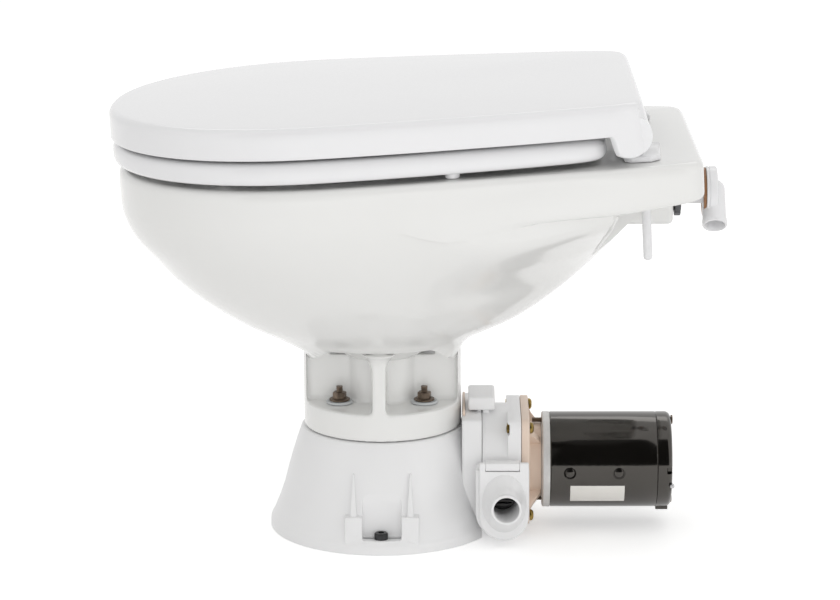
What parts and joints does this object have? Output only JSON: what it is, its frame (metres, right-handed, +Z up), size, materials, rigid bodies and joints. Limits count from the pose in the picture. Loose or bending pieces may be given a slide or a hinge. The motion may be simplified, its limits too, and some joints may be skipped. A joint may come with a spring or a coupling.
{
  "type": "electric marine toilet",
  "caption": "Ceramic bowl with seat and lid on a conical moulded base, with a macerator pump, side discharge nozzle, water inlet elbow and an electric motor behind.",
  "frame": {"origin": "middle of the base on the floor", "axes": "+Z up, +Y from the bowl towards the motor, +X towards the discharge nozzle's side"},
  "size_m": [0.348, 0.5115, 0.3855],
  "materials": {
    "glazed_ceramic": "white glaze, high gloss",
    "seat_plastic": "white moulded plastic, glossy",
    "base_plastic": "white moulded plastic, satin",
    "adapter_plastic": "beige filled plastic, matt",
    "black_rubber": "black rubber, matt",
    "pale_rubber": "pale rubber, matt",
    "stainless_steel": "plain stainless steel",
    "dark_steel": "dark tarnished steel",
    "brass": "plain brass",
    "cast_aluminium": "grey casting",
    "motor_black": "black paint, glossy",
    "nut_grey": "dark grey plastic",
    "copper": "bare copper",
    "core_steel": "stacked steel sheet and wire",
    "ferrite": "dark ferrite",
    "carbon": "carbon",
    "brush_card": "brown laminate"
  },
  "bodies": {
    "toilet": {"bowl": "glazed_ceramic", "hinge_post_left": "seat_plastic", "hinge_post_right": "seat_plastic", "hinge_bolt_left": "seat_plastic", "hinge_bolt_right": "seat_plastic", "hinge_nut_left": "seat_plastic", "hinge_nut_right": "seat_plastic", "base_housing": "base_plastic", "pump_housing": "base_plastic", "discharge_port": "base_plastic", "port_retainer": "base_plastic", "lock_clip": "base_plastic", "motor_adapter": "adapter_plastic", "clip_spacer": "adapter_plastic", "bowl_gasket": "black_rubber", "inlet_seal": "black_rubber", "pump_seal": "black_rubber", "joker_valve": "black_rubber", "lip_seal": "black_rubber", "bowl_pad_front_left": "pale_rubber", "bowl_pad_front_right": "pale_rubber", "bowl_pad_rear_left": "pale_rubber", "bowl_pad_rear_right": "pale_rubber", "floor_bolt_left": "stainless_steel", "floor_bolt_right": "stainless_steel", "hinge_pin_left": "stainless_steel", "hinge_pin_right": "stainless_steel", "wear_plate": "stainless_steel", "front_bearing": "stainless_steel", "rear_bearing": "stainless_steel", "brush_spring_left": "stainless_steel", "brush_spring_right": "stainless_steel", "bowl_bolt_front_left": "dark_steel", "bowl_bolt_front_right": "dark_steel", "bowl_bolt_rear_left": "dark_steel", "bowl_bolt_rear_right": "dark_steel", "through_bolt_upper": "dark_steel", "through_bolt_lower": "dark_steel", "adapter_bolt_1": "brass", "adapter_bolt_2": "brass", "adapter_bolt_3": "brass", "adapter_bolt_4": "brass", "motor_front_plate": "cast_aluminium", "motor_can": "motor_black", "motor_end_bell": "motor_black", "inlet_nut": "nut_grey", "magnet_left": "ferrite", "magnet_right": "ferrite", "brush_card": "brush_card", "inlet_washer": "brush_card"},
    "seat": {"seat": "seat_plastic"},
    "lid": {"lid": "seat_plastic"},
    "rotor": {"rotor_shaft": "stainless_steel", "chopper_blade": "stainless_steel", "impeller": "nut_grey", "armature": "core_steel", "commutator": "copper"},
    "inlet_elbow": {"inlet_elbow": "seat_plastic"},
    "brush_left": {"brush_left": "carbon"},
    "brush_right": {"brush_right": "carbon"}
  },
  "joints": [
    {"name": "seat_hinge", "type": "hinge", "parent": "toilet", "child": "seat", "pos_m": [0, 0.20059, 0.35774], "axis": [1, 0, 0], "range_deg": [-95, 0]},
    {"name": "lid_hinge", "type": "hinge", "parent": "seat", "child": "lid", "pos_m": [0, 0.20059, 0.35774], "axis": [-1, 0, 0], "range_deg": [0, 100]},
    {"name": "rotor_spin", "type": "hinge", "parent": "toilet", "child": "rotor", "pos_m": [0, 0.175, 0.055], "axis": [0, 1, 0], "continuous": true},
    {"name": "inlet_elbow_turn", "type": "hinge", "parent": "toilet", "child": "inlet_elbow", "pos_m": [0, 0.2788, 0.286], "axis": [0, 1, 0], "range_deg": [-48, 132]},
    {"name": "brush_left_slide", "type": "slide", "parent": "toilet", "child": "brush_left", "axis": [-1, 0, 0], "range_m": [0, 0.003], "stiffness_N_per_m": 200, "springref_m": -0.004, "deforming": ["brush_spring_left"]},
    {"name": "brush_right_slide", "type": "slide", "parent": "toilet", "child": "brush_right", "axis": [1, 0, 0], "range_m": [0, 0.003], "stiffness_N_per_m": 200, "springref_m": -0.004, "deforming": ["brush_spring_right"]}
  ]
}
